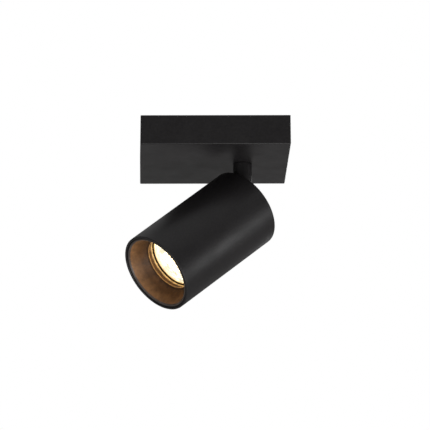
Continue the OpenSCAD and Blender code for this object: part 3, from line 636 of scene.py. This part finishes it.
def make_finishes():
    """All the finishes, by the name of the material slot that they dress."""
    return {
        "black_powder_coat": coat_finish(),
        "baffle_black": baffle_finish(),
        "lamp_lens": lens_finish(),
        # Hot dipped zinc on sheet steel: pale grey crystals of about 5 mm, each with its own gloss
        "galvanised_steel": grain("hot_dip_galvanised_steel", "#b0b3b6", "#c3c5c8", 5.0,
                                  (0.3, 0.42), 3, metallic=1.0, cloud_mm=4.0, kind="cells"),
        # Bright zinc plate on small screws: bluish silver with a fine satin grain
        "zinc_screw": grain("bright_zinc_plated_steel", "#a7abb2", "#c2c6cc", 0.3, (0.22, 0.34), 2,
                            metallic=1.0, cloud_mm=2.0),
        # Black oxide on socket screws: an oily, nearly black metal with a soft gloss
        "black_screw": grain("black_oxide_steel", "#141415", "#232325", 0.25, (0.32, 0.45), 2,
                             metallic=0.7, cloud_mm=2.0),
        # Tempered spring strip: grey steel with a faint rolling grain
        "spring_steel": grain("tempered_spring_steel", "#6f7276", "#8a8d91", 0.4, (0.26, 0.38), 2,
                              metallic=1.0, cloud_mm=3.0),
        # Turned brass for inserts, studs and tags: warm yellow with light tarnish
        "brass": turned_metal("turned_brass", "#a9853c", "#cfae62", (0.2, 0.36), 0.35),
        # Moulded natural polyamide: creamy and slightly waxy
        "terminal_nylon": grain("moulded_natural_polyamide", "#e2dccb", "#ece7d9", 1.2,
                                (0.38, 0.5), 6, ior=1.53, Subsurface_Weight=0.1,
                                Subsurface_Scale=0.002),
        # Machined white acetal for washers: smooth and a little greasy
        "washer_nylon": grain("machined_white_acetal", "#e6e5df", "#f0efea", 0.6, (0.3, 0.42), 3,
                              ior=1.48, Subsurface_Weight=0.1, Subsurface_Scale=0.001),
        # Extruded silicone sleeve of the live lead, brown, with a soft dull skin
        "live_sleeve": grain("brown_silicone_sleeve", "#4a2c19", "#5b3922", 0.5, (0.45, 0.6), 4,
                             ior=1.41),
        # The same sleeve in blue, for the neutral lead
        "neutral_sleeve": grain("blue_silicone_sleeve", "#1f4d93", "#2b60ad", 0.5, (0.45, 0.6), 4,
                                ior=1.41),
        # The same sleeve in green, for the earth leads
        "earth_sleeve": grain("green_silicone_sleeve", "#3f8a35", "#56a04a", 0.5, (0.45, 0.6), 4,
                              ior=1.41),
        # Varnished glass fibre braid over the leads near the hot lamp: dull brown, finely woven
        "lead_bundle": grain("glass_fibre_braid", "#3b2b20", "#54402f", 0.4, (0.5, 0.65), 8,
                             ior=1.5),
        # Pressed and fired steatite: ivory, hard and faintly speckled
        "steatite": grain("fired_steatite", "#ddd6c4", "#ebe6d8", 0.5, (0.3, 0.45), 5, ior=1.58),
        # Nitrile rubber ring: dull black with a fine mould grain
        "ring_rubber": grain("nitrile_rubber", "#121212", "#1d1d1d", 0.3, (0.55, 0.7), 4, ior=1.52),
        # Moulded white polybutylene shell of the lamp: smooth with a slight gloss
        "lamp_shell": grain("moulded_white_polybutylene", "#dedbd4", "#e9e7e1", 0.9, (0.3, 0.42), 4,
                            ior=1.55),
        # Anodised aluminium rim of the lamp: dull graphite grey
        "lamp_rim": grain("anodised_aluminium", "#3a3631", "#47423c", 0.3, (0.35, 0.48), 3,
                          metallic=1.0, cloud_mm=3.0),
        # White solder mask on an aluminium board: flat white, finely speckled
        "led_board": grain("white_solder_mask", "#dfe2de", "#eceeea", 0.4, (0.35, 0.5), 3),
        # Silicone and phosphor over the LED chips: egg yellow and slightly soft
        "led": grain("phosphor_silicone", "#e0bb3f", "#f3d873", 0.3, (0.25, 0.4), 3, ior=1.41),
        # Green solder mask on glass epoxy: dark green with the weave just showing
        "driver_board": grain("green_solder_mask", "#1d5a33", "#2b7345", 0.5, (0.25, 0.4), 4),
        # Nickel plate on brass pins: warm, bright silver
        "nickel_pin": grain("nickel_plated_brass", "#b3aea4", "#cbc7be", 0.3, (0.16, 0.28), 2,
                            metallic=1.0, cloud_mm=2.0),
    }


# Filled by the operator Finishes: each finish by the name of its material slot
FINISHES = {}


def dress_nodes():
    """Gives each CAD node the finish of its own material slot."""
    for part in frame["record"]["subparts"]:
        node = frame["nodes"][part["node"]]
        node.data.materials.clear()
        node.data.materials.append(FINISHES[part["material_slot"]])


# ---------------------------------------------------------------- operators

class SpotlightStage(bpy.types.Operator):
    """Sets the camera, the floor, the lamps and the white background"""
    bl_idname = "spotlight.stage"
    bl_label = "Stage"

    camera_distance = 2.440
    camera_azimuth = math.radians(1.4997)
    camera_rise = math.radians(14.9092)
    camera_roll = math.radians(-0.5084)
    camera_lens = 302.35
    camera_sensor = 36.0
    aim = Vector((0.286, 0.0, -55.536)) * MM
    floor_z = -2.4
    floor_size = 60.0
    # Soft boxes: (name, place, size, power in watts)
    lamps = (
        ("key_below", (1.0, -1.6, -1.9), 1.2, 35),
        ("fill_left", (-1.2, -1.9, -1.2), 1.2, 15.5),
        ("side_right", (2.2, -0.22, -0.3), 0.8, 6.1),
        ("back_rim", (0.8, 1.8, 0.5), 1.0, 8),
    )
    # Brightness of the world as matt surfaces see it
    world_level = 0.35

    def execute(self, context):
        scene = context.scene
        self.add_camera(scene)
        self.add_floor()
        self.add_lamps(scene)
        self.add_world(scene)
        scene.view_settings.view_transform = "Standard"
        return {"FINISHED"}

    def add_camera(self, scene):
        """Looks at the aim from below, as the photograph does, with its slight roll."""
        a, e, roll = self.camera_azimuth, self.camera_rise, self.camera_roll
        forward = Vector((math.sin(a) * math.cos(e), math.cos(a) * math.cos(e), math.sin(e)))
        side = Vector((math.cos(a), -math.sin(a), 0))
        up = side.cross(forward)
        right = math.cos(roll) * side + math.sin(roll) * up
        top = -math.sin(roll) * side + math.cos(roll) * up
        camera = bpy.data.cameras.new("photo_camera")
        camera.lens = self.camera_lens
        camera.sensor_width = self.camera_sensor
        camera.clip_start = 0.05
        camera.clip_end = 200
        holder = bpy.data.objects.new("photo_camera", camera)
        scene.collection.objects.link(holder)
        turned_by = Matrix((right, top, -forward)).transposed().to_4x4()
        place = Matrix.Translation(self.aim - self.camera_distance * forward)
        holder.matrix_world = place @ turned_by
        scene.camera = holder

    def add_floor(self):
        """Matt painted floor, far below: white to the camera, and pale and even in its light."""
        start_fresh()
        bpy.ops.mesh.primitive_plane_add(size=self.floor_size, location=(0, 0, self.floor_z))
        floor = named("studio_floor")
        material, tree, shader = new_material("matt_pale_floor_paint")
        fill(tree, shader, {"Base Color": linear(bpy.context.scene.spot_colours.floor),
                            "Roughness": 0.9})
        path = add(tree, "ShaderNodeLightPath")
        white = add(tree, "ShaderNodeEmission", {"Color": (1, 1, 1, 1), "Strength": 1.0})
        mix = add(tree, "ShaderNodeMixShader", {0: path.outputs["Is Camera Ray"],
                                                1: shader.outputs["BSDF"], 2: white.outputs[0]})
        output = next(n for n in tree.nodes if n.type == "OUTPUT_MATERIAL")
        fill(tree, output, {"Surface": mix.outputs[0]})
        floor.data.materials.append(material)
        settle()

    def add_lamps(self, scene):
        """Round soft boxes that point at the spotlight."""
        for name, place, size, power in self.lamps:
            light = bpy.data.lights.new(name, "AREA")
            light.shape = "DISK"
            light.size = size
            light.energy = power
            holder = bpy.data.objects.new(name, light)
            scene.collection.objects.link(holder)
            holder.location = place
            holder.rotation_euler = (self.aim - Vector(place)).to_track_quat("-Z", "Y").to_euler()

    def add_world(self, scene):
        """White to the camera. Gloss and glass see it bright above and dimmer towards the left."""
        world = bpy.data.worlds.new("white_studio")
        scene.world = world
        world.use_nodes = True
        tree = world.node_tree
        tree.nodes.clear()
        path = add(tree, "ShaderNodeLightPath")
        way = add(tree, "ShaderNodeSeparateXYZ",
                  {"Vector": add(tree, "ShaderNodeTexCoord").outputs["Generated"]})
        aside = add(tree, "ShaderNodeMapRange", {"Value": way.outputs["X"], "From Min": -0.7,
                                                 "From Max": 0.8, "To Min": 0.02, "To Max": 0.13})
        above = add(tree, "ShaderNodeMapRange", {"Value": way.outputs["Z"], "From Min": 0.3,
                                                 "From Max": 0.85, "To Min": 0.0, "To Max": 0.47})
        both = add(tree, "ShaderNodeMath", {0: aside.outputs[0], 1: above.outputs[0]},
                   operation="ADD")
        mirror = add(tree, "ShaderNodeMath", {0: path.outputs["Is Glossy Ray"],
                                              1: path.outputs["Is Transmission Ray"]},
                     operation="MAXIMUM")
        level = add(tree, "ShaderNodeMix", {"Factor": mirror.outputs[0], "A": self.world_level,
                                            "B": both.outputs[0]}, data_type="FLOAT")
        shown = add(tree, "ShaderNodeMix", {"Factor": path.outputs["Is Camera Ray"],
                                            "A": level.outputs[0], "B": 1.0}, data_type="FLOAT")
        back = add(tree, "ShaderNodeBackground", {"Color": (1, 1, 1, 1),
                                                  "Strength": shown.outputs[0]})
        add(tree, "ShaderNodeOutputWorld", {"Surface": back.outputs[0]})


class SpotlightFinishes(bpy.types.Operator):
    """Makes the finishes and gives each CAD node its own"""
    bl_idname = "spotlight.finishes"
    bl_label = "Finishes"

    def execute(self, context):
        FINISHES.update(make_finishes())
        dress_nodes()
        return {"FINISHED"}


class SpotlightCanopyCover(bpy.types.Operator):
    """Folds the square canopy cover and drills its holes"""
    bl_idname = "spotlight.canopy_cover"
    bl_label = "Canopy Cover"

    def execute(self, context):
        sizes = context.scene.spot_canopy
        stem = context.scene.spot_stem
        size = CANOPY_HIGH - CANOPY_LOW
        middle = (CANOPY_HIGH + CANOPY_LOW) / 2
        start_fresh()
        bpy.ops.mesh.primitive_cube_add(size=1, location=middle, scale=size)
        cover = named("folded_canopy_cover")
        settle()
        bpy.ops.object.mode_set(mode="EDIT")
        pick(cover, "FACE", lambda face, mesh: face.normal.z > 0.9)
        bpy.ops.mesh.delete(type="ONLY_FACE")
        top = CANOPY_HIGH.z
        pick(cover, "EDGE", lambda edge, mesh: not all(abs(co.z - top) < NEAR
                                                       for co in ends(edge, mesh)))
        bpy.ops.mesh.bevel(offset=sizes.edge, segments=8, affect="EDGES")
        bpy.ops.object.mode_set(mode="OBJECT")
        apply_modifier(cover, "SOLIDIFY", thickness=sizes.wall, offset=-1, use_even_offset=True)
        cut(cover, drill(sizes.stem_hole / 2, 4 * sizes.wall, (stem.reach, 0, CANOPY_LOW.z)))
        for side in (-1, 1):
            cut(cover, drill(sizes.grub_hole / 2, 6 * sizes.wall,
                             (side * size.x / 2, 0, -sizes.grub_drop), along="X", sides=48))
        shade(cover)
        finish_piece(cover, "canopy", "black_powder_coat", "canopy_cover")
        return {"FINISHED"}


class SpotlightMountingPlate(bpy.types.Operator):
    """Bends the mounting plate with its two tabs and punches its holes"""
    bl_idname = "spotlight.mounting_plate"
    bl_label = "Mounting Plate"

    def execute(self, context):
        sizes = context.scene.spot_canopy
        size = PLATE_HIGH - PLATE_LOW
        half_tab = sizes.tab / 2
        start_fresh()
        bpy.ops.mesh.primitive_plane_add(size=1, location=(0, 0, PLATE_HIGH.z))
        plate = named("bent_mounting_plate")
        plate.scale = (size.x, size.y, 1)
        settle()
        bpy.ops.object.mode_set(mode="EDIT")
        for y in (-half_tab, half_tab):
            bpy.ops.mesh.select_all(action="SELECT")
            bpy.ops.mesh.bisect(plane_co=(0, y, 0), plane_no=(0, 1, 0))

        def at_end(edge, mesh, side):
            """Tells whether an edge lies at one end of the plate, within its tab."""
            return all(side * co.x > size.x / 2 - NEAR and abs(co.y) < half_tab + NEAR
                       for co in ends(edge, mesh))

        for side in (-1, 1):
            pick(plate, "EDGE", lambda edge, mesh: at_end(edge, mesh, side))
            bpy.ops.mesh.extrude_region_move(TRANSFORM_OT_translate={"value": (0, 0, -size.z)})
        pick(plate, "EDGE", lambda edge, mesh: (at_end(edge, mesh, 1) or at_end(edge, mesh, -1))
             and all(abs(co.z - PLATE_HIGH.z) < NEAR for co in ends(edge, mesh)))
        bpy.ops.mesh.bevel(offset=sizes.bend, segments=5, affect="EDGES")
        bpy.ops.object.mode_set(mode="OBJECT")
        apply_modifier(plate, "SOLIDIFY", thickness=sizes.plate_sheet, offset=-1,
                       use_even_offset=True)
        deep = 4 * sizes.plate_sheet
        cut(plate, drill(sizes.cable_hole / 2, deep, (0, 0, PLATE_HIGH.z)))
        for side in (-1, 1):
            cut(plate, slot_cutter(sizes.slot_width, sizes.slot_length, deep,
                                   (side * sizes.screw_spacing / 2, 0, PLATE_HIGH.z)))
            cut(plate, drill(sizes.tap_hole / 2, 2 * deep, (side * size.x / 2, 0, -sizes.grub_drop),
                             along="X", sides=48))
        low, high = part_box("terminal_fixing_screw")
        cut(plate, drill(sizes.fixing_hole / 2, deep, ((low.x + high.x) / 2, (low.y + high.y) / 2,
                                                       PLATE_HIGH.z), sides=32))
        shade(plate)
        finish_piece(plate, "canopy", "galvanised_steel", "mounting_plate")
        return {"FINISHED"}


class SpotlightStem(bpy.types.Operator):
    """Turns the stem tube"""
    bl_idname = "spotlight.stem"
    bl_label = "Stem"

    def execute(self, context):
        sizes = context.scene.spot_stem
        outer = (STEM_HIGH.x - STEM_LOW.x) / 2
        inner = sizes.bore / 2
        tube = turned("turned_stem_tube", [(inner, STEM_LOW.z), (outer, STEM_LOW.z),
                                           (outer, STEM_HIGH.z), (inner, STEM_HIGH.z)], STEM_SIDES)
        round_edges(tube, sizes.edge)
        put(tube, Matrix.Translation((sizes.reach, 0, 0)))
        shade(tube)
        finish_piece(tube, "stem", "black_powder_coat", "stem_tube")
        return {"FINISHED"}


class SpotlightHeadTube(bpy.types.Operator):
    """Turns the head tube with its rounded lips"""
    bl_idname = "spotlight.head_tube"
    bl_label = "Head Tube"

    def execute(self, context):
        sizes = context.scene.spot_head
        outer = sizes.diameter / 2
        inner = outer - sizes.wall
        tube = turned("turned_head_tube", [(inner, 0), (outer, 0), (outer, sizes.length),
                                           (inner, sizes.length)], HEAD_SIDES)
        round_edges(tube, sizes.lip, segments=4)
        put(tube, mouth_frame())
        shade(tube)
        finish_piece(tube, "head", "black_powder_coat", "head_tube")
        return {"FINISHED"}


class SpotlightBaffle(bpy.types.Operator):
    """Spins the conical baffle with its rolled lip, its throat and its groove"""
    bl_idname = "spotlight.baffle"
    bl_label = "Baffle"

    edge = 0.3 * MM

    def execute(self, context):
        s = context.scene.spot_optic
        slope = (s.mouth_radius - s.throat_radius) / (s.throat_front - s.inset + s.lip_rise)
        lip, rim_rear = s.inset - s.lip_rise, s.inset + s.rim
        groove_floor, groove_rear = s.rim_radius - s.groove_depth, s.groove + s.groove_width
        half = s.bead / 2
        bead_front, bead_rear = s.throat_front - half, s.throat_front + half
        outline = [
            (s.mouth_radius, lip),
            (s.rim_radius - s.lip_rise, lip),
            (s.rim_radius, s.inset),
            (s.rim_radius, s.groove),
            (groove_floor, s.groove),
            (groove_floor, groove_rear),
            (s.rim_radius, groove_rear),
            (s.rim_radius, rim_rear),
            (s.mouth_radius - slope * s.rim + s.sheet, rim_rear),
            (s.throat_radius + s.sheet, s.throat_front),
            (s.throat_radius + s.sheet, s.throat_rear),
            (s.throat_radius, s.throat_rear),
            (s.throat_radius, s.throat_rear - s.bead),
            (s.throat_radius + half, s.throat_rear - s.bead),
            (s.throat_radius + half, bead_rear),
            (s.throat_radius - s.bead_rise, bead_rear),
            (s.throat_radius - s.bead_rise, bead_front),
            (s.throat_radius + slope * half, bead_front),
        ]
        cone = turned("spun_baffle", outline, HEAD_SIDES)
        round_edges(cone, self.edge, angle=20)
        put(cone, mouth_frame())
        shade(cone, angle=25)
        finish_piece(cone, "baffle_unit", "baffle_black", "baffle")
        return {"FINISHED"}


class SpotlightLampFront(bpy.types.Operator):
    """Turns the lamp's rim and moulds its lens"""
    bl_idname = "spotlight.lamp_front"
    bl_label = "Lamp Rim and Lens"

    gap = 0.1 * MM
    rim_edge = 0.3 * MM
    # The lens's lit ring stands this much above its middle and its border
    step = 0.25 * MM
    step_edge = 0.08 * MM

    def execute(self, context):
        s = context.scene.spot_optic
        inner = s.lens_radius + self.gap
        rim = turned("turned_lamp_rim", [(inner, s.lamp_front), (s.lamp_radius, s.lamp_front),
                                         (s.lamp_radius, s.rim_rear), (inner, s.rim_rear)],
                     LAMP_SIDES)
        round_edges(rim, self.rim_edge)
        put(rim, mouth_frame())
        shade(rim)
        finish_piece(rim, "lamp", "lamp_rim", "lamp_bezel")
        dip = s.lens_front + self.step
        lens = turned("moulded_lamp_lens", [
            (0, dip), (s.lens_hot_radius, dip), (s.lens_hot_radius + self.step, s.lens_front),
            (s.lens_edge, s.lens_front), (s.lens_edge, dip), (s.lens_radius, dip),
            (s.lens_radius, s.lens_step), (s.flange_radius, s.lens_step),
            (s.flange_radius, s.lens_rear), (0, s.lens_rear)], LAMP_SIDES)
        round_edges(lens, self.step_edge, segments=2)
        put(lens, mouth_frame())
        shade(lens)
        finish_piece(lens, "lamp", "lamp_lens", "lamp_lens")
        return {"FINISHED"}


class SpotlightCastings(bpy.types.Operator):
    """Breaks the edges of the cast, moulded and machined pieces, and smooths the leads"""
    bl_idname = "spotlight.castings"
    bl_label = "Castings, Mouldings and Leads"

    # (CAD node, name of the piece, edge radius in millimetres)
    castings = (
        ("stem_knuckle", "machined_knuckle", 0.3),
        ("rear_cap", "cast_rear_cap", 0.3),
        ("terminal_block", "moulded_terminal_block", 0.25),
        ("lampholder", "pressed_lampholder", 0.25),
        ("lamp_housing", "moulded_lamp_housing", 0.3),
        ("nylon_washer", "machined_nylon_washer", 0.12),
        ("stem_nut", "machined_stem_nut", 0.2),
        ("pivot_screws", "headed_pivot_screws", 0.12),
        ("cover_grub_screws", "headed_grub_screws", 0.1),
    )
    leads = ("live_lead", "neutral_lead", "earth_leads", "stem_leads", "head_leads")
    # The leads have few sides and bends, and look round and smooth with this angle in degrees
    lead_angle = 60

    def execute(self, context):
        slots = {part["node"]: part["material_slot"] for part in frame["record"]["subparts"]}
        pieces = self.castings + tuple((lead, "sleeved_" + lead, 0) for lead in self.leads)
        for node, name, edge in pieces:
            body = frame["nodes"][node]["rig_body"]
            piece = copied(node, name)
            if edge:
                round_edges(piece, edge * MM, segments=2, angle=40)
                shade(piece)
            else:
                shade(piece, angle=self.lead_angle)
            finish_piece(piece, body, slots[node], node)
        return {"FINISHED"}


class SPOTLIGHT_PT_panel(bpy.types.Panel):
    """Lists the sizes, the colours and the pieces"""
    bl_label = "Spotlight"
    bl_idname = "SPOTLIGHT_PT_panel"
    bl_space_type = "VIEW_3D"
    bl_region_type = "UI"
    bl_category = "Spotlight"

    def draw(self, context):
        for group in SIZE_GROUPS:
            box = self.layout.box()
            sizes = getattr(context.scene, group)
            for key in type(sizes).__annotations__:
                box.prop(sizes, key)
        for operator in OPERATORS:
            self.layout.operator(operator.bl_idname)


OPERATORS = (
    SpotlightStage,
    SpotlightFinishes,
    SpotlightCanopyCover,
    SpotlightMountingPlate,
    SpotlightStem,
    SpotlightHeadTube,
    SpotlightBaffle,
    SpotlightLampFront,
    SpotlightCastings,
)
CLASSES = tuple(SIZE_GROUPS.values()) + OPERATORS + (SPOTLIGHT_PT_panel,)


def register():
    """Registers the classes and hangs the sizes and colours on the scene."""
    for entry in CLASSES:
        bpy.utils.register_class(entry)
    for name, group in SIZE_GROUPS.items():
        setattr(bpy.types.Scene, name, bpy.props.PointerProperty(type=group))


def unregister():
    """Undoes register."""
    for name in SIZE_GROUPS:
        delattr(bpy.types.Scene, name)
    for entry in reversed(CLASSES):
        bpy.utils.unregister_class(entry)


def main():
    """Builds everything in order."""
    register()
    for operator in OPERATORS:
        group, name = operator.bl_idname.split(".")
        getattr(getattr(bpy.ops, group), name)()


if __name__ == "__main__":
    main()
